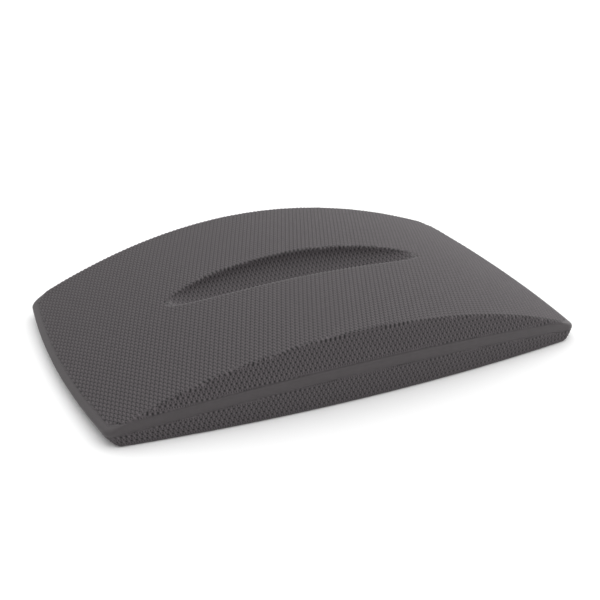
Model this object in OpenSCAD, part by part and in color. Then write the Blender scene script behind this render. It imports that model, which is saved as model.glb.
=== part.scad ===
// Rocking balance board of moulded foam, lying on its flat deck with its arched side up.
// X runs along the arch, Z is up, and the origin is the centre of the flat deck on the floor.
// A moulded skin covers the arch, its slot and its scoops. A second skin covers the lower walls
// and the deck, and a smooth band covers the joint between the two. A foam core fills them,
// and a stiff panel bonded inside the deck keeps it flat.

/* [Overall size] */
// Length over the bowed ends
board_l = 510; // [425:1:612]
// Width over the bowed long sides
board_w = 325; // [270:1:390]
// Height of the crown of the arch above the floor
crown_h = 72; // [60:1:87]

/* [Outline] */
// How far a long side bows out beyond its two corners
side_bow = 17; // [8:0.5:24]
// How far an end bows out beyond its two corners
end_bow = 10.5; // [4:0.5:18]
// Radius of the corners, seen from above
corner_r = 13; // [6:0.5:20]
// How far the foot of an end wall is set back under its rim
end_undercut = 12; // [4:0.5:15]
// How far the foot of a long wall is set back under the band
side_undercut = 1.5; // [0.5:0.1:4]

/* [Arch] */
// Height of the arch above the floor on the line through two corners
rim_h = 17.5; // [15:0.5:24]
// Radius of the slight camber of the arch across the board
camber_r = 5080; // [3000:10:9000]

/* [Scoops] */
// How far the ridge over a scoop is set back from the widest line
scoop_depth = 5.7; // [3:0.1:9]
// Radius of the hollow of a scoop, from its ridge down to the band
scoop_r = 150; // [110:1:220]
// Radius of a scoop seen from above
scoop_plan_r = 1520; // [1200:10:2000]

/* [Slot] */
// Length of the oval slot
slot_l = 278; // [200:1:320]
// Width of the slot at its middle
slot_w = 62; // [50:1:80]
// Depth of the slot at its middle, below the crown of the arch
slot_depth = 26; // [18:0.5:42]
// Radius between the slot's walls and its floor
slot_floor_r = 14; // [8:0.5:20]

/* [Edge band] */
// Height of the band's middle line at the middle of a long side
band_h = 33.7; // [28:0.1:42]
// How far the band falls from there to the line through two corners
band_drop = 18; // [12:0.1:22]
// Width of the band
band_w = 10; // [6:0.5:14]

/* [Layers] */
// Thickness of the two skins and the band
skin_t = 3; // [2:0.1:5]
// Length of the stiff panel
panel_l = 440; // [340:1:450]
// Width of the stiff panel
panel_w = 264; // [200:1:268]
// Thickness of the stiff panel
panel_t = 6; // [4:0.5:9]
// Corner radius of the stiff panel
panel_r = 20; // [8:1:40]

/* [Hidden] */
$fn = 360;
skin_colour = [0.30, 0.28, 0.28];
band_colour = [0.25, 0.24, 0.24];
foam_colour = [0.62, 0.61, 0.58];
panel_colour = [0.72, 0.58, 0.40];

// Half sizes, and the place of the four corners before they are rounded
half_l = board_l / 2;
half_w = board_w / 2;
corner_x = half_l - end_bow;
corner_y = half_w - side_bow;

// Radius of the arc that rises by `rise` over a chord of twice `half_chord`
function arc_r(half_chord, rise) = (half_chord * half_chord + rise * rise) / (2 * rise);
side_r = arc_r(corner_x, side_bow);
end_r = arc_r(corner_y, end_bow);
arch_r = arc_r(corner_x, crown_h - rim_h);
band_r = arc_r(corner_x, band_drop);
slot_floor_h = crown_h - slot_depth;

// Height of the arch over the middle of an end, where its wall stops leaning out
tip_h = crown_h - arch_r + sqrt(arch_r * arch_r - half_l * half_l);

// How far cutting shapes reach past the board, so that no face of theirs touches it
past = 20;
top_h = crown_h + past;

// Distance of a side's and an end's arc centre from the middle of the board
side_centre = side_r - half_w;
end_centre = end_r - half_l;

// Centre of the rounding of the corner at +X +Y. It is corner_r inside both of the arcs.
centres_gap = norm([side_centre, end_centre]);
side_reach = side_r - corner_r;
end_reach = end_r - corner_r;
along = (pow(side_reach, 2) - pow(end_reach, 2) + pow(centres_gap, 2)) / (2 * centres_gap);
across = sqrt(side_reach * side_reach - along * along);
round_x = (across * side_centre - along * end_centre) / centres_gap;
round_y = (across * end_centre + along * side_centre) / centres_gap - side_centre;

// Directions from the two arc centres through the centre of the rounding
to_side = [round_x, round_y + side_centre] / side_reach;
to_end = [round_x + end_centre, round_y] / end_reach;

// Everything below the arch, cambered across the board, with its skin of `inset` taken off
module under_arch(inset) {
    translate([0, 0, crown_h - arch_r])
        rotate([90, 0, 0])
            rotate_extrude($fn = 720)
                intersection() {
                    translate([arch_r - camber_r, 0])
                        circle(r = camber_r - inset, $fn = 1440);
                    translate([0, -half_w - past])
                        square([arch_r + past, board_w + 2 * past]);
                }
}

// A drum whose wall leans out from its foot up to `lean_h`, and is upright above that
module leaning_drum(r, foot_in, lean_h) {
    rotate_extrude($fn = 1440)
        polygon([
            [0, 0],
            [r - foot_in, 0],
            [r, lean_h],
            [r, top_h],
            [0, top_h]
        ]);
}

// What lies outside the rounding of the corner at +X +Y
module corner_offcut(inset) {
    rounding = [round_x, round_y];
    linear_extrude(top_h)
        difference() {
            polygon([
                rounding,
                rounding + (corner_r + past) * to_side,
                rounding + 3 * (corner_r + past) * [1, 1] / sqrt(2),
                rounding + (corner_r + past) * to_end
            ]);
            translate(rounding)
                circle(r = corner_r - inset);
        }
}

// The outline with its four bowed walls and round corners, taller than the board
module walls(inset) {
    difference() {
        intersection() {
            translate([0, -side_centre, 0])
                leaning_drum(side_r - inset, side_undercut, band_h);
            translate([0, side_centre, 0])
                leaning_drum(side_r - inset, side_undercut, band_h);
            translate([-end_centre, 0, 0])
                leaning_drum(end_r - inset, end_undercut, tip_h);
            translate([end_centre, 0, 0])
                leaning_drum(end_r - inset, end_undercut, tip_h);
        }
        for (mx = [0, 1], my = [0, 1])
            mirror([mx, 0, 0])
                mirror([0, my, 0])
                    corner_offcut(inset);
    }
}

// Everything below one edge of the band: `side` is 1 for its upper edge and -1 for its lower one
module under_band(side) {
    r = band_r + side * band_w / 2;
    translate([0, 0, band_h - band_r])
        rotate([90, 0, 0])
            cylinder(r = r, h = board_w + 2 * past, center = true, $fn = 1440);
}

// The hollow cut from the long side at +Y, which the ridge of the arch overlooks
module scoop(inset) {
    ring_r = scoop_plan_r + scoop_r;
    ridge_y = half_w - scoop_depth;
    difference() {
        translate([0, ridge_y - scoop_plan_r, 0])
            rotate_extrude($fn = 1440)
                intersection() {
                    translate([ring_r, crown_h])
                        circle(r = scoop_r + inset);
                    translate([scoop_plan_r - past, 0])
                        square([4 * past, top_h]);
                }
        translate([0, 0, -inset])
            under_band(1);
    }
}

// The oval pocket in the arch. Its walls are upright down to the rounding of its floor
module slot(inset) {
    half_slot_l = slot_l / 2 + inset;
    half_slot_w = slot_w / 2 + inset;
    floor_r = slot_floor_r + inset;
    floor_h = slot_floor_h - inset;
    scale([half_slot_l / half_slot_w, 1, 1])
        rotate_extrude()
            union() {
                translate([half_slot_w - floor_r, floor_h + floor_r])
                    circle(r = floor_r, $fn = 96);
                translate([0, floor_h])
                    square([half_slot_w - floor_r, top_h - floor_h]);
                translate([0, floor_h + floor_r])
                    square([half_slot_w, top_h - floor_h - floor_r]);
            }
}

// The whole outer form, with a skin of `inset` taken off everywhere
module form(inset = 0) {
    difference() {
        intersection() {
            under_arch(inset);
            walls(inset);
            translate([0, 0, inset + top_h / 2])
                cube([board_l + past, board_w + past, top_h], center = true);
        }
        scoop(inset);
        mirror([0, 1, 0])
            scoop(inset);
        slot(inset);
    }
}

// The outer form with the core taken out of it
module skin() {
    difference() {
        form();
        form(skin_t);
    }
}

// What the upper skin leaves to the two pieces below it. It keeps the lining of a slot that is
// deep enough to reach below the band
module below_upper_skin() {
    difference() {
        under_band(1);
        slot(skin_t);
    }
}

// The textured cover of the arch, lining its slot and scoops down to the band
module upper_skin() {
    color(skin_colour)
        difference() {
            skin();
            below_upper_skin();
        }
}

// The smooth strip that covers the joint between the skins, all the way round
module edge_band() {
    color(band_colour)
        difference() {
            intersection() {
                skin();
                below_upper_skin();
            }
            under_band(-1);
        }
}

// The textured tray below the band: its low walls and the flat deck
module lower_skin() {
    color(skin_colour)
        difference() {
            intersection() {
                skin();
                under_band(-1);
            }
            slot(skin_t);
        }
}

// The flat panel's solid, which is also the pocket for it in the core
module panel_solid() {
    straight_l = panel_l - 2 * panel_r;
    straight_w = panel_w - 2 * panel_r;
    translate([0, 0, skin_t])
        linear_extrude(panel_t)
            union() {
                square([panel_l, straight_w], center = true);
                square([straight_l, panel_w], center = true);
                for (x = [-1, 1], y = [-1, 1])
                    translate([x * straight_l / 2, y * straight_w / 2])
                        circle(r = panel_r);
            }
}

// The foam that fills the skins, with a pocket for the panel
module foam_core() {
    color(foam_colour)
        difference() {
            form(skin_t);
            panel_solid();
        }
}

// The stiff panel bonded to the inside of the deck
module stiffener_panel() {
    color(panel_colour)
        panel_solid();
}

upper_skin();
edge_band();
lower_skin();
foam_core();
stiffener_panel();
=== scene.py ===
"""The looks of a rocking balance board of moulded foam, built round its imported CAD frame.

The textured skins and the smooth band are meshed here with the relief of the moulded surface in
the mesh itself. Lengths are millimetres, and become metres as each mesh is made.
"""

import math

import bpy
import numpy as np
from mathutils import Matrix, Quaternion, Vector
from mathutils.geometry import delaunay_2d_cdt
from mathutils.kdtree import KDTree

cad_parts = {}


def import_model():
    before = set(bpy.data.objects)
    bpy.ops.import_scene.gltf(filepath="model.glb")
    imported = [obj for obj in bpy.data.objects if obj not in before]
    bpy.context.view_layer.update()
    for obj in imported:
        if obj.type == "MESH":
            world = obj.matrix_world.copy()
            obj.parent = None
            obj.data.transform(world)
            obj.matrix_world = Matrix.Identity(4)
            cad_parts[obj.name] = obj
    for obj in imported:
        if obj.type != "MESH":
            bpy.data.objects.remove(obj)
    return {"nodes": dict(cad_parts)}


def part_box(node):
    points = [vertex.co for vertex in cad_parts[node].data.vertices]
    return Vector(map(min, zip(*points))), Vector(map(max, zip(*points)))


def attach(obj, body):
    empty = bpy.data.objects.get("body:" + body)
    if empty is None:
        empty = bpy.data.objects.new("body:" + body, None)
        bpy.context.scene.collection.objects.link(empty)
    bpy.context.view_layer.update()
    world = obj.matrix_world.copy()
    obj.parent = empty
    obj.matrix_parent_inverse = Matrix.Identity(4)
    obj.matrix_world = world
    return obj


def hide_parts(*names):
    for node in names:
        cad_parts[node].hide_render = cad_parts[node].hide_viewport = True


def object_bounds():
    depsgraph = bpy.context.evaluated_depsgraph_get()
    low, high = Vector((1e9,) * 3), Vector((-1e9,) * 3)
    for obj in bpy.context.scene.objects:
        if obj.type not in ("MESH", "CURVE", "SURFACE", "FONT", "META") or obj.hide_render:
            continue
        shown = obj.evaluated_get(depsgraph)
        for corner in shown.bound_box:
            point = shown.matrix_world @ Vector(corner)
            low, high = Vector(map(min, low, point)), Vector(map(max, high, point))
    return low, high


MM = 0.001
UP = np.array([0.0, 0.0, 1.0])

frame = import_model()
cad_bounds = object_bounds()


def node_top(node):
    """Height of the top of a CAD node."""
    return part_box(node)[1].z / MM


# Sizes that the frame gives
HALF_L = cad_bounds[1].x / MM
HALF_W = cad_bounds[1].y / MM
CROWN_H = cad_bounds[1].z / MM
BAND_TOP_H = node_top("edge_band")
BAND_LOW_H = node_top("lower_skin")
BAND_W = BAND_TOP_H - BAND_LOW_H
BAND_H = (BAND_TOP_H + BAND_LOW_H) / 2

# Sizes of the CAD's form that its boxes don't give
SIDE_BOW = 17.0
END_BOW = 10.5
CORNER_R = 13.0
END_UNDERCUT = 12.0
SIDE_UNDERCUT = 1.5
RIM_H = 17.5
CAMBER_R = 5080.0
SCOOP_DEPTH = 5.7
SCOOP_R = 150.0
SCOOP_PLAN_R = 1520.0
SLOT_L = 278.0
SLOT_W = 62.0
SLOT_DEPTH = 26.0
SLOT_FLOOR_R = 14.0
BAND_DROP = 18.0
SKIN_T = 3.0

# How blunt the slot's tips are seen from above. An ellipse has 0.5
SLOT_BLUNT = 0.52

# How many points the slot's lining is worked out with: along it, round a section, and in the
# even steps that each section is kept in
SLOT_STATIONS = 275
SECTION_POINTS = 241
SECTION_STEPS = 161

# The moulded texture: rows of short ribs, each row half a pitch along from the last. On the arch
# and the deck the rows are turned a little from the board's length
PITCH = 4.65
ROW = 4.65
TURN = math.radians(3.3)
RIB_H = 1.7
WALL_RIB_H = 1.1
DECK_RIB_H = 0.4

# Ribs keep this clear of a patch's border, and rise to their full height over this distance
CLEAR = 0.6
FADE = 1.6

# Height of the beads along the ridges and round the slot
BEAD_H = 0.7

# The relief that smooth places are shaded with, where 0 is a hollow and 1 is a rib's top
PLAIN_TONE = 0.5

# How far apart the points of a skin's unseen inside are
PLAIN_STEP = 9.0

# How far the deck's texture stays off its edge
DECK_MARGIN = 5.0

# How many points a seam between two walls has
SEAM_POINTS = 5

# Softening of the board's edges: its foot, its corners at the foot, its rim on the wall's side
# and its rim on the arch's side
FOOT_R = 1.6
FOOT_CORNER_R = 4.0
RIM_ROUND = 4.0
END_ROUND = 5.5

# How far the band swells out, the least share of that at the ends, and how wide the band is on
# the arch along the ends
BAND_BULGE = 0.5
END_SWELL = 0.35
END_MARGIN = 7.0

# The most that the rim's rounding takes of the band's part on the wall and of its part on the arch
WALL_SHARE = 0.75
ARCH_SHARE = 0.8


def arc_r(half_chord, rise):
    """Radius of the arc that rises by `rise` over a chord of twice `half_chord`."""
    return (half_chord**2 + rise**2) / (2 * rise)


CORNER_X = HALF_L - END_BOW
CORNER_Y = HALF_W - SIDE_BOW
SIDE_R = arc_r(CORNER_X, SIDE_BOW)
END_R = arc_r(CORNER_Y, END_BOW)
ARCH_R = arc_r(CORNER_X, CROWN_H - RIM_H)
BAND_R = arc_r(CORNER_X, BAND_DROP)
SIDE_CENTRE = SIDE_R - HALF_W
END_CENTRE = END_R - HALF_L
TIP_H = CROWN_H - ARCH_R + math.sqrt(ARCH_R**2 - HALF_L**2)
SCOOP_RING_R = SCOOP_PLAN_R + SCOOP_R
SCOOP_CENTRE = HALF_W - SCOOP_DEPTH - SCOOP_PLAN_R


# ---------------------------------------------------------------- the form


def arch_z(x, y):
    """Height of the arch over a point."""
    r = ARCH_R - CAMBER_R + np.sqrt(CAMBER_R**2 - y**2)
    return CROWN_H - ARCH_R + np.sqrt(r**2 - x**2)


def arch_point(flat):
    """Point of the arch for (length along it, place across it)."""
    u, y = flat[:, 0], flat[:, 1]
    r = ARCH_R - CAMBER_R + np.sqrt(CAMBER_R**2 - y**2)
    angle = u / ARCH_R
    return np.stack([r * np.sin(angle), y, CROWN_H - ARCH_R + r * np.cos(angle)], 1)


def arch_flat(points):
    """The inverse of arch_point for points on the arch."""
    height = points[:, 2] - CROWN_H + ARCH_R
    return np.stack([ARCH_R * np.arctan2(points[:, 0], height), points[:, 1]], 1)


def band_z(x, side):
    """Height of the band's upper edge (side 1), middle (0) or lower edge (-1) at x."""
    r = BAND_R + side * BAND_W / 2
    return BAND_H - BAND_R + np.sqrt(r**2 - x**2)


def scoop_y(x, z):
    """How far out the scoop's surface is at a height."""
    reach = SCOOP_RING_R - np.sqrt(SCOOP_R**2 - (z - CROWN_H) ** 2)
    return SCOOP_CENTRE + np.sqrt(reach**2 - x**2)


def ridge_y(x):
    """How far out the arch meets the scoop. Each step brings the guess closer."""
    y = np.full_like(x, HALF_W - SCOOP_DEPTH)
    for _ in range(12):
        y = scoop_y(x, arch_z(x, y))
    return y


def tip_x():
    """Where the arch meets the band's upper edge on the ridge, by halving the gap."""
    low, high = 0.0, CORNER_X
    for _ in range(40):
        x = np.array([(low + high) / 2])
        if arch_z(x, ridge_y(x))[0] > band_z(x, 1)[0]:
            low = x[0]
        else:
            high = x[0]
    return low


TIP_X = tip_x()


def slot_share(x):
    """How wide the slot is at x, as a share of its width at the middle. It is nearly an ellipse."""
    return np.clip(1 - (2 * x / SLOT_L) ** 2, 0, 1) ** SLOT_BLUNT


def slot_half(x):
    """Half width of the slot at x."""
    return SLOT_W / 2 * slot_share(x)


def slot_depth(x):
    """Depth of the slot's floor under its edge at x."""
    gap = np.clip(SLOT_FLOOR_R - SLOT_W / 2 * (1 - np.abs(2 * x / SLOT_L)), 0, SLOT_FLOOR_R)
    floor = CROWN_H - SLOT_DEPTH + SLOT_FLOOR_R - np.sqrt(SLOT_FLOOR_R**2 - gap**2)
    return np.maximum(arch_z(x, slot_half(x)) - floor, 0)


class Loop:
    """The outline at one inset of its long sides and ends, with corners rounded by a radius.

    Places on it are given by distance along the outermost outline, from the middle of the
    side at +Y, so that the same place at another inset is straight above or below."""

    def __init__(self, side_in, end_in, corner_r):
        self.side_r = SIDE_R - side_in
        self.end_r = END_R - end_in
        self.corner_r = corner_r
        gap = math.hypot(SIDE_CENTRE, END_CENTRE)
        side_reach = self.side_r - corner_r
        end_reach = self.end_r - corner_r
        along = (side_reach**2 - end_reach**2 + gap**2) / (2 * gap)
        across = np.sqrt(side_reach**2 - along**2)
        self.round_x = (across * SIDE_CENTRE - along * END_CENTRE) / gap
        self.round_y = (across * END_CENTRE + along * SIDE_CENTRE) / gap - SIDE_CENTRE
        self.side_turn = np.arctan2(self.round_x, self.round_y + SIDE_CENTRE)
        self.end_turn = np.arctan2(self.round_y, self.round_x + END_CENTRE)

    def at(self, place):
        """Points (x, y) and outward directions of places along the loop."""
        side, corner, quarter = QUARTER
        local, sx, sy = in_quarter(place)
        on_side = np.clip(local / side, 0, 1)
        on_round = np.clip((local - side) / (corner - side), 0, 1)
        on_end = np.clip((quarter - local) / (quarter - corner), 0, 1)
        side_a = self.side_turn * on_side
        round_a = self.side_turn + (math.pi / 2 - self.end_turn - self.side_turn) * on_round
        end_a = self.end_turn * on_end
        in_side, in_round = local < side, local < corner
        x = np.where(
            in_side,
            self.side_r * np.sin(side_a),
            np.where(
                in_round,
                self.round_x + self.corner_r * np.sin(round_a),
                self.end_r * np.cos(end_a) - END_CENTRE,
            ),
        )
        y = np.where(
            in_side,
            self.side_r * np.cos(side_a) - SIDE_CENTRE,
            np.where(
                in_round,
                self.round_y + self.corner_r * np.cos(round_a),
                self.end_r * np.sin(end_a),
            ),
        )
        angle = np.where(in_side, side_a, np.where(in_round, round_a, math.pi / 2 - end_a))
        return np.stack([sx * x, sy * y], -1), np.stack([sx * np.sin(angle), sy * np.cos(angle)], -1)


def in_quarter(place):
    """How far a place is from the middle of its side, and the signs of its x and its y."""
    quarter = QUARTER[2]
    lap = np.mod(place, 4 * quarter)
    part = np.floor_divide(lap, quarter).astype(int) % 4
    local = np.where(part % 2 == 0, lap - part * quarter, (part + 1) * quarter - lap)
    return local, np.where(part < 2, 1.0, -1.0), np.where((part == 0) | (part == 3), 1.0, -1.0)


def quarter_lengths():
    """Distances from the middle of a side to its rounding, past the rounding, and to the end."""
    outer = Loop(0.0, 0.0, CORNER_R)
    side = SIDE_R * outer.side_turn
    corner = CORNER_R * (math.pi / 2 - outer.end_turn - outer.side_turn)
    return side, side + corner, side + corner + END_R * outer.end_turn


QUARTER = quarter_lengths()


def wall_loop(z):
    """The outline at each height: the ends lean in a lot to their foot and the sides a little."""
    side_in = SIDE_UNDERCUT * np.clip(1 - z / BAND_H, 0, 1)
    end_in = END_UNDERCUT * np.clip(1 - z / TIP_H, 0, 1)
    corner_r = FOOT_CORNER_R + (CORNER_R - FOOT_CORNER_R) * np.clip(z / TIP_H, 0, 1)
    return Loop(side_in, end_in, corner_r)


# ---------------------------------------------------------------- meshing


def unit(v):
    """Vectors of length one in the same directions."""
    return v / np.maximum(np.linalg.norm(v, axis=-1, keepdims=True), 1e-12)


def resample(points, step):
    """The same open line with points spaced evenly, about a step apart."""
    gone = np.concatenate([[0], np.cumsum(np.linalg.norm(np.diff(points, axis=0), axis=1))])
    count = max(2, round(gone[-1] / step) + 1)
    at = np.linspace(0, gone[-1], count)
    return np.stack([np.interp(at, gone, points[:, k]) for k in range(points.shape[1])], 1)


class Sheet:
    """A surface put together from patches that share the points of their border lines."""

    def __init__(self):
        self.points = []
        self.faces = []
        self.relief = []
        self.count = 0

    def add(self, points, relief=None):
        """Adds points and gives their numbers."""
        ids = np.arange(self.count, self.count + len(points))
        self.points.append(np.asarray(points, float))
        self.relief.append(np.full(len(points), PLAIN_TONE) if relief is None else relief)
        self.count += len(points)
        return ids

    def strips(self, rows, closed=False, flip=False):
        """Joins rows of point numbers, one row after another, with pairs of triangles."""
        rows = np.asarray(rows)
        a, b = rows[:-1], rows[1:]
        if closed:
            a2, b2 = np.roll(a, -1, 1), np.roll(b, -1, 1)
        else:
            a, b, a2, b2 = a[:, :-1], b[:, :-1], a[:, 1:], b[:, 1:]
        tris = np.concatenate(
            [np.stack([a, a2, b2], -1).reshape(-1, 3), np.stack([a, b2, b], -1).reshape(-1, 3)]
        )
        self.faces.append(tris[:, ::-1] if flip else tris)

    def patch(self, loops, flats, place, inner, height, up):
        """Fills the space between border loops, given by their point numbers and flat places.

        `inner` holds flat places and their relief from 0 to 1, which stands out by `height`, and
        `place` turns flat places into points. `up` is 1 where the surface's outside is on the side
        of the flat places' normal."""
        border = np.concatenate(flats)
        ids = np.concatenate(loops)
        edges, start = [], 0
        for flat in flats:
            n = len(flat)
            edges += [(start + k, start + (k + 1) % n) for k in range(n)]
            start += n
        spots, rise = inner

        # Leave out what is too near the border, and let the rest rise from it
        near = KDTree(len(border) * 2)
        nexts = np.concatenate([np.roll(f, -1, 0) for f in flats])
        for k, p in enumerate(np.concatenate([border, (border + nexts) / 2])):
            near.insert((p[0], p[1], 0.0), k)
        near.balance()
        gap = np.array([near.find((p[0], p[1], 0.0))[2] for p in spots], float)
        chosen = (gap > CLEAR) & within(spots, flats)
        spots, rise, gap = spots[chosen], rise[chosen], gap[chosen]
        kept = np.clip((gap - CLEAR / 2) / FADE, 0, 1)
        # The relief kept at each point also sets how much painted shade it gets in the material
        shade_tone = rise * kept + PLAIN_TONE * (1 - kept)
        rise = rise * kept

        # Join everything with triangles, keeping the border's edges
        flat_all = np.concatenate([border, spots])
        out = delaunay_2d_cdt([Vector(p) for p in flat_all], edges, [], 1, 1e-7, True)
        verts = np.array([tuple(v) for v in out[0]])
        faces = np.array(out[2])
        origin = np.array([o[0] if o else -1 for o in out[3]])
        middle = verts[faces].mean(1)
        faces = faces[within(middle, flats)]

        # Number the points: the border has its own already, and the rest are new
        base, normal = with_normal(place, spots, up)
        new_ids = self.add(base + normal * (rise * height)[:, None], shade_tone)
        number = np.concatenate([ids, new_ids])
        if (origin < 0).any():
            extra = np.where(origin < 0)[0]
            base, normal = with_normal(place, verts[extra], up)
            number = np.concatenate([number, self.add(base)])
            origin[extra] = len(ids) + len(new_ids) + np.arange(len(extra))
        tris = number[origin[faces]]
        wrong = turn_of(verts[faces]) * up < 0
        tris[wrong] = tris[wrong][:, ::-1]
        self.faces.append(tris)

    def arrays(self):
        """All the points, the triangles and the relief of the points."""
        return np.concatenate(self.points), np.concatenate(self.faces), np.concatenate(self.relief)


def within(spots, loops):
    """Whether flat places are inside the first loop and outside any others, by counting
    how many times the way out from each one crosses the loops."""
    odd = np.zeros(len(spots), bool)
    for loop in loops:
        for (ax, ay), (bx, by) in zip(loop, np.roll(loop, -1, 0)):
            if ay == by:
                continue
            crosses = (spots[:, 1] > ay) != (spots[:, 1] > by)
            odd ^= crosses & (spots[:, 0] < ax + (spots[:, 1] - ay) * (bx - ax) / (by - ay))
    return odd


def turn_of(tri):
    """Twice the signed area of flat triangles."""
    a, b = tri[:, 1] - tri[:, 0], tri[:, 2] - tri[:, 0]
    return a[:, 0] * b[:, 1] - a[:, 1] * b[:, 0]


def with_normal(place, flat, up):
    """Points for flat places and the directions out of the surface there."""
    if not len(flat):
        return np.zeros((0, 3)), np.zeros((0, 3))
    step = 0.05
    du = place(flat + [step, 0]) - place(flat - [step, 0])
    dv = place(flat + [0, step]) - place(flat - [0, step])
    return place(flat), up * unit(np.cross(du, dv))


# A rib's points by their place in its cell, as (along the row, across the rows, relief)
RIB = (
    (0.0, 0.0, 1.0),
    (0.0, 0.5, 0.85),
    (0.0, -0.5, 0.85),
    (0.17, 0.24, 0.55),
    (-0.17, 0.24, 0.55),
    (0.17, -0.24, 0.55),
    (-0.17, -0.24, 0.55),
    (0.5, 0.0, 0.0),
    (0.25, 0.5, 0.0),
    (-0.25, 0.5, 0.0),
)


def ribs(low, high, turn=0.0):
    """Flat places of the texture over a box, with their relief: 1 on top and 0 in the hollows."""
    centre = (np.asarray(low, float) + high) / 2
    reach = np.linalg.norm(np.asarray(high, float) - low) / 2 + PITCH
    cols = np.arange(-math.ceil(reach / PITCH) - 1, math.ceil(reach / PITCH) + 2)
    rows = np.arange(-math.ceil(reach / ROW) - 1, math.ceil(reach / ROW) + 2)
    i, j = np.meshgrid(cols, rows)
    tops = np.stack([(i + 0.5 * (j % 2)) * PITCH, j * ROW], -1).reshape(-1, 2)
    spots = np.concatenate([tops + np.array([along * PITCH, across * ROW]) for along, across, _ in RIB])
    rise = np.concatenate([np.full(len(tops), relief) for _, _, relief in RIB])
    c, s = math.cos(turn), math.sin(turn)
    spots = spots @ np.array([[c, s], [-s, c]]) + centre
    inside = ((spots > low) & (spots < high)).all(1)
    return spots[inside], rise[inside]


def beads(points, outward):
    """A border line with a bead standing out at every pitch along it."""
    gone = np.concatenate([[0], np.cumsum(np.linalg.norm(np.diff(points, axis=0), axis=1))])
    swell = 0.5 + 0.5 * np.cos(2 * math.pi * (gone - gone[-1] / 2) / PITCH)
    ends = np.clip(np.minimum(gone, gone[-1] - gone) / (4 * PITCH), 0, 1)
    # The beads' relief also sets how much painted shade they get in the material
    shade_tone = swell * ends + PLAIN_TONE * (1 - ends)
    return points + outward * (BEAD_H * swell * ends)[:, None], shade_tone


def mesh_of(name, points, faces, relief=None):
    """A mesh object from arrays in millimetres, without its unused points."""
    used, faces = np.unique(faces, return_inverse=True)
    faces = faces.reshape(-1, 3)
    flat = (faces == np.roll(faces, 1, axis=1)).any(axis=1)
    faces = faces[~flat]
    mesh = bpy.data.meshes.new(name)
    mesh.from_pydata((points[used] * MM).tolist(), [], faces.tolist())
    mesh.polygons.foreach_set("use_smooth", np.ones(len(faces), bool))
    if relief is not None:
        mesh.attributes.new("relief", "FLOAT", "POINT").data.foreach_set("value", relief[used])
    mesh.update()
    made = bpy.data.objects.new(name, mesh)
    bpy.context.scene.collection.objects.link(made)
    return made


def point_normals(points, faces):
    """Directions out of a mesh at its points."""
    tri = points[faces]
    across = np.cross(tri[:, 1] - tri[:, 0], tri[:, 2] - tri[:, 0])
    total = np.zeros_like(points)
    for k in range(3):
        np.add.at(total, faces[:, k], across)
    return unit(total)


def shell(build, thickness):
    """A closed skin: the detailed outside, a plain inside, and a strip along every open border."""
    outside, borders = build(True)
    inside, _ = build(False)
    points, faces, relief = outside.arrays()
    plain, plain_faces, _ = inside.arrays()
    plain = plain - point_normals(plain, plain_faces) * thickness
    strips = []
    for ids in borders:
        a, a2 = ids, np.roll(ids, -1)
        b, b2 = a + len(points), a2 + len(points)
        strips += [np.stack([a2, a, b], 1), np.stack([a2, b, b2], 1)]
    return (
        np.concatenate([points, plain]),
        np.concatenate([faces, plain_faces[:, ::-1] + len(points), *strips]),
        np.concatenate([relief, np.zeros(len(plain))]),
    )


# ---------------------------------------------------------------- upper skin


def even_x(line, end, step):
    """Values of x from -end to end whose points on a line are about a step apart."""
    x = np.linspace(-end, end, 2001)
    return resample(line(x), step)[:, 0]


def ridge_line(x):
    """Points along the ridge over the scoop at +Y."""
    y = ridge_y(x)
    return np.stack([x, y, arch_z(x, y)], 1)


def foot_line(x):
    """Points along the foot of the scoop at +Y, on the band's upper edge."""
    z = band_z(x, 1)
    return np.stack([x, scoop_y(x, z), z], 1)


def slot_line(x):
    """Points along the edge of the slot at +Y."""
    y = slot_half(x)
    return np.stack([x, y, arch_z(x, y)], 1)


def end_margin(angle):
    """Points of the arch a margin inside an end, by angle about the end's centre."""
    r = END_R - END_MARGIN
    x, y = r * np.cos(angle) - END_CENTRE, r * np.sin(angle)
    return np.stack([x, y, arch_z(x, y)], 1)


OUTLINE = Loop(0.0, 0.0, CORNER_R)
TIP = ridge_line(np.array([TIP_X]))[0]
MARGIN_START = end_margin(np.array([OUTLINE.end_turn]))[0]


def between(a, b, shares):
    """Points of the arch on the way from one of its points to another."""
    flat_a, flat_b = arch_flat(a[None]), arch_flat(b[None])
    return arch_point(flat_a + (flat_b - flat_a) * np.asarray(shares)[:, None])


def end_border(step):
    """Points of the texture's border round the end at +X, between the tips of its two ridges."""
    flip_y = np.array([1.0, -1.0, 1.0])
    shares = np.linspace(0, 1, 20)
    angles = np.linspace(OUTLINE.end_turn, -OUTLINE.end_turn, 300)
    line = [
        between(TIP, MARGIN_START, shares),
        end_margin(angles)[1:-1],
        between(MARGIN_START * flip_y, TIP * flip_y, shares),
    ]
    return resample(np.concatenate(line), step)[1:-1]


def slot_sections():
    """The slot's section at each x: half its length round, and its width and depth along it."""
    xs = np.linspace(-SLOT_L / 2, SLOT_L / 2, SLOT_STATIONS)
    angle = np.linspace(-math.pi / 2, math.pi / 2, SECTION_POINTS)
    across, down = np.sin(angle), np.clip(np.cos(angle), 0, 1)
    even = np.linspace(-1, 1, SECTION_STEPS)
    half, wide, deep = [], [], []
    for w, d in zip(slot_half(xs), slot_depth(xs)):
        steps = np.hypot(np.diff(across * w), np.diff(down * d))
        gone = np.concatenate([[0], np.cumsum(steps)])
        half.append(gone[-1] / 2)
        gone = gone / max(gone[-1], 1e-9) * 2 - 1 + np.linspace(-1e-9, 1e-9, len(gone))
        wide.append(np.interp(even, gone, across))
        deep.append(np.interp(even, gone, down))
    return xs, np.array(half), even, np.array(wide), np.array(deep)


SECTION_X, SECTION_HALF, SECTION_EVEN, SECTION_WIDE, SECTION_DEEP = slot_sections()


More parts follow.
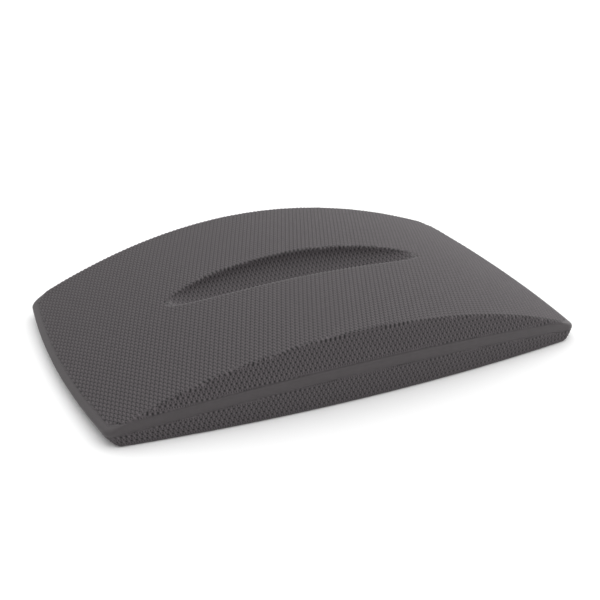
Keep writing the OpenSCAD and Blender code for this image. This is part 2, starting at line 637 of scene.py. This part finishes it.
def slot_point(flat):
    """Point of the slot's lining for (place along it, distance round its section)."""
    x = np.clip(flat[:, 0], -SLOT_L / 2, SLOT_L / 2)
    half = np.maximum(np.interp(x, SECTION_X, SECTION_HALF), 1e-6)
    share = np.clip(flat[:, 1] / half, -1, 1)
    col = np.clip((x - SECTION_X[0]) / (SECTION_X[1] - SECTION_X[0]), 0, len(SECTION_X) - 1.001)
    row = np.clip((share + 1) / 2 * (len(SECTION_EVEN) - 1), 0, len(SECTION_EVEN) - 1.001)
    i, j = col.astype(int), row.astype(int)
    fi, fj = col - i, row - j

    def read(grid):
        near = grid[i, j] * (1 - fj) + grid[i, j + 1] * fj
        far = grid[i + 1, j] * (1 - fj) + grid[i + 1, j + 1] * fj
        return near * (1 - fi) + far * fi

    wide, deep = slot_half(x), slot_depth(x)
    edge_z = arch_z(x, wide)
    return np.stack([x, wide * read(SECTION_WIDE), edge_z - deep * read(SECTION_DEEP)], 1)


def slot_flat(points, side):
    """Flat places of the slot's lining for points on its edge, on the side at +Y or -Y."""
    half = np.interp(points[:, 0], SECTION_X, SECTION_HALF)
    return np.stack([points[:, 0], side * half], 1)


def scoop_place(side):
    """Turns (x, height) into a point of the scoop on one side."""

    def place(flat):
        x, z = flat[:, 0], flat[:, 1]
        return np.stack([x, side * scoop_y(x, z), z], 1)

    return place


NO_RIBS = (np.zeros((0, 2)), np.zeros(0))


def plain_grid(low, high, step=PLAIN_STEP):
    """Flat places for the unseen inside of a skin."""
    xs = np.arange(low[0] + step / 2, high[0], step)
    ys = np.arange(low[1] + step / 2, high[1], step)
    x, y = np.meshgrid(xs, ys)
    spots = np.stack([x, y], -1).reshape(-1, 2)
    return spots, np.zeros(len(spots))


def upper_skin(detailed):
    """The textured cover of the arch, with its scoops and slot, and its open border."""
    sheet = Sheet()

    # The lines that the patches share: ridges, feet of the scoops, the slot's edge and the ends
    fine, coarse = PITCH / 4, PITCH / 2
    ridge = ridge_line(even_x(ridge_line, TIP_X, fine))
    foot = foot_line(even_x(foot_line, TIP_X, coarse))[1:-1]
    rim = slot_line(even_x(slot_line, SLOT_L / 2, fine))
    flip_y = np.array([1.0, -1.0, 1.0])
    half_end = end_border(coarse)
    out = unit(UP + np.array([0.0, 1.0, 0.0]))
    ridge_bead, ridge_swell = beads(ridge, out[None]) if detailed else (ridge, None)
    rim_bead, rim_swell = beads(rim, UP[None]) if detailed else (rim, None)
    ridges = {side: sheet.add(ridge_bead * [1, side, 1], ridge_swell) for side in (1, -1)}
    feet = {side: sheet.add(foot * [1, side, 1]) for side in (1, -1)}
    rim_ids = sheet.add(rim_bead, rim_swell)
    back_swell = rim_swell[1:-1] if detailed else None
    back_ids = sheet.add((rim_bead * flip_y)[1:-1], back_swell)
    rim_ids = np.concatenate([rim_ids, back_ids[::-1]])
    right, left = sheet.add(half_end), sheet.add(half_end * [-1, 1, 1])

    # The arch, with the slot left open in it
    flat_ridge, flat_rim, flat_end = arch_flat(ridge), arch_flat(rim), arch_flat(half_end)
    back_ridge, back_rim = flat_ridge * [1, -1], flat_rim * [1, -1]
    outer_ids = [ridges[1], right, ridges[-1][::-1], left[::-1]]
    outer_flat = [flat_ridge, flat_end, back_ridge[::-1], (flat_end * [-1, 1])[::-1]]
    rim_flat = np.concatenate([flat_rim, back_rim[::-1][1:-1]])
    reach = np.array([ARCH_R * math.asin(HALF_L / ARCH_R), HALF_W])
    inner = ribs(-reach, reach, TURN) if detailed else plain_grid(-reach, reach)
    sheet.patch(
        [np.concatenate(outer_ids), rim_ids],
        [np.concatenate(outer_flat), rim_flat],
        arch_point,
        inner,
        RIB_H,
        1,
    )

    # The scoops, flat in x and height
    scoop_flat = np.concatenate([ridge[:, [0, 2]], foot[::-1][:, [0, 2]]])
    low = np.array([-TIP_X, band_z(TIP_X, 1)])
    high = np.array([TIP_X, CROWN_H])
    for side in (1, -1):
        sheet.patch(
            [np.concatenate([ridges[side], feet[side][::-1]])],
            [scoop_flat],
            scoop_place(side),
            ribs(low, high) if detailed else NO_RIBS,
            WALL_RIB_H,
            -side,
        )

    # The slot's lining
    span = np.array([SLOT_L / 2, SECTION_HALF.max()])
    sheet.patch(
        [rim_ids],
        [np.concatenate([slot_flat(rim, 1), slot_flat(rim, -1)[::-1][1:-1]])],
        slot_point,
        ribs(-span, span) if detailed else plain_grid(-span, span),
        WALL_RIB_H,
        1,
    )
    border = [
        ridges[1][:1],
        feet[1],
        ridges[1][-1:],
        right,
        ridges[-1][-1:],
        feet[-1][::-1],
        ridges[-1][:1],
        left[::-1],
    ]
    return sheet, [np.concatenate(border)]


# ---------------------------------------------------------------- edge band


def low_edge(place):
    """Points on the walls along the band's lower edge."""
    z = band_z(OUTLINE.at(place)[0][:, 0], -1)
    for _ in range(8):
        flat, _out = wall_loop(z).at(place)
        z = band_z(flat[:, 0], -1)
    return np.concatenate([flat, z[:, None]], 1)


def stations():
    """Places round the board, closer together at its corners."""
    side, corner, end = QUARTER
    tip = SIDE_R * math.asin(TIP_X / SIDE_R)
    parts = [
        np.linspace(0, tip, 100)[:-1],
        np.linspace(tip, corner, 26)[:-1],
        np.linspace(corner, end, 60),
    ]
    first = np.concatenate(parts)
    half = np.concatenate([first, 2 * end - first[::-1][1:]])
    return np.concatenate([half, half[1:-1] + 2 * end]), tip


def edge_band():
    """The smooth band: it covers the joint, rounds the rim and turns onto the arch at the ends."""
    place, tip = stations()
    _side, round_end, quarter = QUARTER
    local, sx, sy = in_quarter(place)
    xy, out = OUTLINE.at(place)
    out = np.concatenate([out, np.zeros((len(out), 1))], 1)
    x, y = np.abs(xy[:, 0]), np.abs(xy[:, 1])

    # At each place: the band's lower edge, the rim's corner before it is rounded, and the upper edge
    low = low_edge(place)
    on_side, on_end = local <= tip, local >= round_end
    top_z = np.where(on_side, band_z(x, 1), arch_z(x, y))
    corner = np.concatenate([xy, top_z[:, None]], 1)
    share = np.clip((local - tip) / (round_end - tip), 0, 1)
    end_angle = OUTLINE.end_turn * np.clip((quarter - local) / (quarter - round_end), 0, 1)
    top = np.where(
        on_side[:, None],
        foot_line(np.minimum(x, TIP_X)),
        np.where(on_end[:, None], end_margin(end_angle), between(TIP, MARGIN_START, share)),
    )
    top = top * np.stack([sx, sy, np.ones_like(sx)], 1)

    # Up the wall, round the rim and along the arch, with a swell on the wall
    down, over = low - corner, top - corner
    down_len = np.linalg.norm(down, axis=1, keepdims=True)
    over_len = np.linalg.norm(over, axis=1, keepdims=True)
    start = corner + down / down_len * np.minimum(RIM_ROUND, WALL_SHARE * down_len)
    finish = corner + over / over_len * np.minimum(END_ROUND, ARCH_SHARE * over_len)
    rows = [low + (start - low) * t for t in np.linspace(0, 1, 7)]
    for t in np.linspace(0, 1, 9)[1:]:
        rows.append(start * (1 - t) ** 2 + corner * 2 * t * (1 - t) + finish * t**2)
    rows += [finish + (top - finish) * t for t in np.linspace(0, 1, 5)[1:]]
    swell = BAND_BULGE * np.clip(2 * (1 - share), END_SWELL, 1)[:, None]
    wall_rows = 12
    for k in range(1, wall_rows):
        rows[k] = rows[k] + out * swell * math.sin(math.pi * k / wall_rows)

    # The unseen back, which closes each section
    flat_cut = (1 - share)[:, None]
    inward = unit(-out * flat_cut - UP * (1 - flat_cut))
    back_top, back_low = top + inward * SKIN_T, low - out * SKIN_T
    rows += [back_top, (back_top + back_low) / 2, back_low]
    sheet = Sheet()
    ids = [sheet.add(r) for r in rows]
    sheet.strips(ids + ids[:1], closed=True)
    points, faces, _ = sheet.arrays()
    return points, faces


# ---------------------------------------------------------------- lower skin


def wall_place(stretch):
    """Turns (place round the board, stretched height) into a point of the walls."""

    def place(flat):
        z = flat[:, 1] / stretch
        xy, _out = wall_loop(z).at(flat[:, 0])
        return np.concatenate([xy, z[:, None]], 1)

    return place


def wall_seams(sheet):
    """Upright lines of points at the corners, from where one wall's patch runs to the next.

    Gives their places round the board, ending with the first one again, their point numbers
    and their heights."""
    side, corner, end = QUARTER
    seam = (side + corner) / 2
    places = [seam, 2 * end - seam, 2 * end + seam, 4 * end - seam]
    ids, heights = [], []
    for place in places:
        top_z = low_edge(np.array([place]))[0, 2]
        z = np.linspace(FOOT_R, top_z, SEAM_POINTS)
        ids.append(sheet.add(wall_place(1.0)(np.stack([np.full(SEAM_POINTS, place), z], 1))))
        heights.append(z)
    return places + [4 * end + seam], ids, heights


def foot_ring(sheet, ids, places):
    """Rounds the walls' foot down to the deck. Gives the deck's edge as numbers and places."""
    foot_xy, foot_out = wall_loop(np.full(len(places), FOOT_R)).at(places)
    rows, last = [ids], None
    for t in np.linspace(0, 1, 6)[1:]:
        a = t * math.pi / 2
        drop = (FOOT_R - DECK_RIB_H) * math.sin(a)
        xy = foot_xy - foot_out * FOOT_R * (1 - math.cos(a))
        last = np.concatenate([xy, np.full((len(xy), 1), FOOT_R - drop)], 1)
        rows.append(sheet.add(last))
    sheet.strips(rows, closed=True)
    return rows[-1], last[:, :2]


def deck_place(flat):
    """Points of the deck between its ribs, which stand down to the floor from there."""
    return np.concatenate([flat, np.full((len(flat), 1), DECK_RIB_H)], 1)


def deck_spots(detailed):
    """Flat places of the deck's texture, kept off its edge."""
    reach = np.array([HALF_L - END_UNDERCUT - DECK_MARGIN, HALF_W - SIDE_UNDERCUT - DECK_MARGIN])
    spots, rise = ribs(-reach, reach, TURN) if detailed else plain_grid(-reach, reach)
    x, y = np.abs(spots[:, 0]), np.abs(spots[:, 1])
    in_side = np.hypot(x, y + SIDE_CENTRE) < SIDE_R - SIDE_UNDERCUT - DECK_MARGIN - FOOT_R
    in_end = np.hypot(x + END_CENTRE, y) < END_R - END_UNDERCUT - DECK_MARGIN - FOOT_R
    chosen = in_side & in_end
    return spots[chosen], rise[chosen]


def lower_skin(detailed):
    """The textured tray below the band: four walls, their rounded foot and the deck."""
    sheet = Sheet()
    seams, seam_ids, seam_z = wall_seams(sheet)

    # The top and bottom lines of each wall, between its seams
    spans, tops, top_heights, bottoms = [], [], [], []
    for a, b in zip(seams[:-1], seams[1:]):
        count = round((b - a) / (PITCH / 2))
        places = np.linspace(a, b, count + 1)[1:-1]
        high = low_edge(places)
        xy, _out = wall_loop(np.full(len(places), FOOT_R)).at(places)
        spans.append(places)
        tops.append(sheet.add(high))
        top_heights.append(high[:, 2])
        bottoms.append(sheet.add(np.concatenate([xy, np.full((len(xy), 1), FOOT_R)], 1)))

    # The walls, flat in place and height. The leaning ends are stretched to their true height
    lean = math.hypot(1, END_UNDERCUT / TIP_H)
    for k in range(4):
        after = (k + 1) % 4
        stretch = lean if k % 2 == 0 else 1.0
        ids = [seam_ids[k], tops[k], seam_ids[after][::-1], bottoms[k][::-1]]
        flats = [
            np.stack([np.full(SEAM_POINTS, seams[k]), seam_z[k]], 1),
            np.stack([spans[k], top_heights[k]], 1),
            np.stack([np.full(SEAM_POINTS, seams[k + 1]), seam_z[after][::-1]], 1),
            np.stack([spans[k][::-1], np.full(len(spans[k]), FOOT_R)], 1),
        ]
        flats = np.concatenate(flats) * [1, stretch]
        sheet.patch(
            [np.concatenate(ids)],
            [flats],
            wall_place(stretch),
            ribs(flats.min(0), flats.max(0)) if detailed else NO_RIBS,
            WALL_RIB_H,
            -1,
        )

    # The foot and the deck
    ring_ids, ring_places = [], []
    for k in range(4):
        ring_ids += [seam_ids[k][:1], bottoms[k]]
        ring_places += [np.array([seams[k]]), spans[k]]
    edge_ids, edge = foot_ring(sheet, np.concatenate(ring_ids), np.concatenate(ring_places))
    sheet.patch([edge_ids], [edge], deck_place, deck_spots(detailed), DECK_RIB_H, -1)

    border = []
    for k in range(4):
        border += [seam_ids[k][-1:], tops[k]]
    return sheet, [np.concatenate(border)]


# ---------------------------------------------------------------- materials


def nodes_of(material):
    """A material's nodes and links, and its shader."""
    material.use_nodes = True
    tree = material.node_tree
    return tree.nodes, tree.links, tree.nodes["Principled BSDF"]


def rubber(name, dark, light, roughness, grain, hollow_shade_dark=None):
    """Moulded rubber-like foam skin: fine grain, slight mottling, and, when given, painted shade in the
    hollows.
    """
    material = bpy.data.materials.new(name)
    nodes, links, shader = nodes_of(material)
    shader.inputs["Roughness"].default_value = roughness
    shader.inputs["Specular IOR Level"].default_value = 0.35
    shader.inputs["Sheen Weight"].default_value = 0.08
    shader.inputs["Sheen Roughness"].default_value = 0.5
    coords = nodes.new("ShaderNodeTexCoord")
    mottle = nodes.new("ShaderNodeTexNoise")
    mottle.inputs["Scale"].default_value = 160
    mottle.inputs["Detail"].default_value = 5
    ramp = nodes.new("ShaderNodeValToRGB")
    ramp.color_ramp.elements[0].position = 0.35
    ramp.color_ramp.elements[0].color = (*dark, 1)
    ramp.color_ramp.elements[1].position = 0.68
    ramp.color_ramp.elements[1].color = (*light, 1)
    links.new(coords.outputs["Object"], mottle.inputs["Vector"])
    links.new(mottle.outputs["Fac"], ramp.inputs["Fac"])
    colour = ramp.outputs["Color"]

    # Painted shade: the colour is darkened between the ribs, where shade falls in the hollows, by the
    # relief kept with the mesh's points
    if hollow_shade_dark is not None:
        relief = nodes.new("ShaderNodeAttribute")
        relief.attribute_name = "relief"
        depth = nodes.new("ShaderNodeValToRGB")
        depth.color_ramp.elements[0].color = (hollow_shade_dark,) * 3 + (1,)
        depth.color_ramp.elements[0].position = 0.12
        depth.color_ramp.elements[1].position = 0.85
        depth.color_ramp.elements[1].color = (1, 1, 1, 1)
        blend = nodes.new("ShaderNodeMix")
        blend.data_type = "RGBA"
        blend.blend_type = "MULTIPLY"
        blend.inputs["Factor"].default_value = 1
        links.new(relief.outputs["Fac"], depth.inputs["Fac"])
        links.new(colour, blend.inputs["A"])
        links.new(depth.outputs["Color"], blend.inputs["B"])
        colour = blend.outputs["Result"]
    links.new(colour, shader.inputs["Base Color"])
    fine = nodes.new("ShaderNodeTexNoise")
    fine.inputs["Scale"].default_value = grain
    fine.inputs["Detail"].default_value = 4
    raised = nodes.new("ShaderNodeBump")
    raised.inputs["Strength"].default_value = 0.25
    raised.inputs["Distance"].default_value = 0.0003
    links.new(coords.outputs["Object"], fine.inputs["Vector"])
    links.new(fine.outputs["Fac"], raised.inputs["Height"])
    links.new(raised.outputs["Normal"], shader.inputs["Normal"])
    return material


def foam():
    """Cut foam: pale, matt, and full of small cells."""
    material = bpy.data.materials.new("core_foam")
    nodes, links, shader = nodes_of(material)
    shader.inputs["Roughness"].default_value = 0.95
    coords = nodes.new("ShaderNodeTexCoord")
    cells = nodes.new("ShaderNodeTexVoronoi")
    cells.inputs["Scale"].default_value = 900
    ramp = nodes.new("ShaderNodeValToRGB")
    ramp.color_ramp.elements[0].color = (0.30, 0.29, 0.26, 1)
    ramp.color_ramp.elements[1].color = (0.52, 0.50, 0.46, 1)
    raised = nodes.new("ShaderNodeBump")
    raised.inputs["Strength"].default_value = 0.5
    raised.inputs["Distance"].default_value = 0.0005
    links.new(coords.outputs["Object"], cells.inputs["Vector"])
    links.new(cells.outputs["Distance"], ramp.inputs["Fac"])
    links.new(cells.outputs["Distance"], raised.inputs["Height"])
    links.new(ramp.outputs["Color"], shader.inputs["Base Color"])
    links.new(raised.outputs["Normal"], shader.inputs["Normal"])
    return material


def plywood():
    """Birch plywood with its grain along the board."""
    material = bpy.data.materials.new("panel_ply")
    nodes, links, shader = nodes_of(material)
    shader.inputs["Roughness"].default_value = 0.6
    coords = nodes.new("ShaderNodeTexCoord")
    stretched = nodes.new("ShaderNodeMapping")
    stretched.inputs["Scale"].default_value = (3, 60, 60)
    grain = nodes.new("ShaderNodeTexNoise")
    grain.inputs["Scale"].default_value = 4
    grain.inputs["Detail"].default_value = 6
    grain.inputs["Distortion"].default_value = 0.6
    ramp = nodes.new("ShaderNodeValToRGB")
    ramp.color_ramp.elements[0].color = (0.42, 0.26, 0.13, 1)
    ramp.color_ramp.elements[1].color = (0.62, 0.45, 0.27, 1)
    links.new(coords.outputs["Object"], stretched.inputs["Vector"])
    links.new(stretched.outputs["Vector"], grain.inputs["Vector"])
    links.new(grain.outputs["Fac"], ramp.inputs["Fac"])
    links.new(ramp.outputs["Color"], shader.inputs["Base Color"])
    return material


# ---------------------------------------------------------------- the pieces

skin_rubber = rubber(
    "textured_skin",
    dark=(0.092, 0.080, 0.086),
    light=(0.102, 0.089, 0.095),
    roughness=0.62,
    grain=2600,
    # Painted shade in the hollows between the ribs: their colour is taken down to this share
    hollow_shade_dark=0.01,
)
band_rubber = rubber(
    "smooth_band",
    dark=(0.052, 0.046, 0.048),
    light=(0.057, 0.050, 0.053),
    roughness=0.62,
    grain=3400,
)

upper = mesh_of("upper_skin_textured", *shell(upper_skin, SKIN_T))
upper.data.materials.append(skin_rubber)
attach(upper, "root")
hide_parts("upper_skin")

band = mesh_of("edge_band_smooth", *edge_band())
band.data.materials.append(band_rubber)
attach(band, "root")
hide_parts("edge_band")

lower = mesh_of("lower_skin_textured", *shell(lower_skin, SKIN_T))
lower.data.materials.append(skin_rubber)
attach(lower, "root")
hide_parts("lower_skin")

core = frame["nodes"]["foam_core"]
core.data.materials.clear()
core.data.materials.append(foam())

panel = frame["nodes"]["stiffener_panel"]
panel.data.materials.clear()
panel.data.materials.append(plywood())


# ---------------------------------------------------------------- floor, light and camera


def floor():
    """A wide pale floor with a faint mottle."""
    half = 9.0
    corners = [(-half, -half, 0), (half, -half, 0), (half, half, 0), (-half, half, 0)]
    mesh = bpy.data.meshes.new("floor")
    mesh.from_pydata(corners, [], [(0, 1, 2, 3)])
    made = bpy.data.objects.new("floor", mesh)
    bpy.context.scene.collection.objects.link(made)
    material = bpy.data.materials.new("floor")
    nodes, links, shader = nodes_of(material)
    shader.inputs["Roughness"].default_value = 0.9
    shader.inputs["Specular IOR Level"].default_value = 0.1
    noise = nodes.new("ShaderNodeTexNoise")
    noise.inputs["Scale"].default_value = 3
    ramp = nodes.new("ShaderNodeValToRGB")
    ramp.color_ramp.elements[0].color = (0.90, 0.90, 0.90, 1)
    ramp.color_ramp.elements[1].color = (0.93, 0.93, 0.93, 1)
    links.new(noise.outputs["Fac"], ramp.inputs["Fac"])
    links.new(ramp.outputs["Color"], shader.inputs["Base Color"])
    mesh.materials.append(material)


def sun(name, azimuth, elevation, strength, angle):
    """A soft distant light that shines from a direction given in degrees."""
    data = bpy.data.lights.new(name, "SUN")
    data.energy = strength
    data.angle = math.radians(angle)
    made = bpy.data.objects.new(name, data)
    a, e = math.radians(azimuth), math.radians(elevation)
    towards = Vector((math.sin(a) * math.cos(e), -math.cos(a) * math.cos(e), math.sin(e)))
    made.rotation_euler = towards.to_track_quat("Z", "Y").to_euler()
    bpy.context.scene.collection.objects.link(made)


def world(strength):
    """Even white light from all round."""
    made = bpy.data.worlds.new("studio")
    made.use_nodes = True
    sky = made.node_tree.nodes["Background"]
    sky.inputs["Color"].default_value = (1, 1, 1, 1)
    sky.inputs["Strength"].default_value = strength
    bpy.context.scene.world = made


def camera(azimuth, elevation, roll, distance, target, lens):
    """The camera at a viewing angle in degrees, as far from its target as given in millimetres."""
    data = bpy.data.cameras.new("camera")
    data.lens = lens
    data.sensor_width = 36
    data.clip_start, data.clip_end = 0.01, 60
    made = bpy.data.objects.new("camera", data)
    a, e = math.radians(azimuth), math.radians(elevation)
    back = Vector((math.sin(a) * math.cos(e), -math.cos(a) * math.cos(e), math.sin(e)))
    made.location = (Vector(target) + back * distance) * MM
    turned = Quaternion(back, math.radians(roll)) @ back.to_track_quat("Z", "Y")
    made.rotation_mode = "QUATERNION"
    made.rotation_quaternion = turned
    bpy.context.scene.collection.objects.link(made)
    bpy.context.scene.camera = made


floor()
world(0.75)
sun("key", azimuth=115, elevation=58, strength=2.0, angle=120)
sun("fill", azimuth=-20, elevation=60, strength=0.2, angle=40)
camera(
    azimuth=-23.68,
    elevation=25.89,
    roll=-0.75,
    distance=1249.5,
    target=(8.94, 10.52, 24.43),
    lens=71.87,
)
bpy.context.scene.view_settings.view_transform = "Standard"
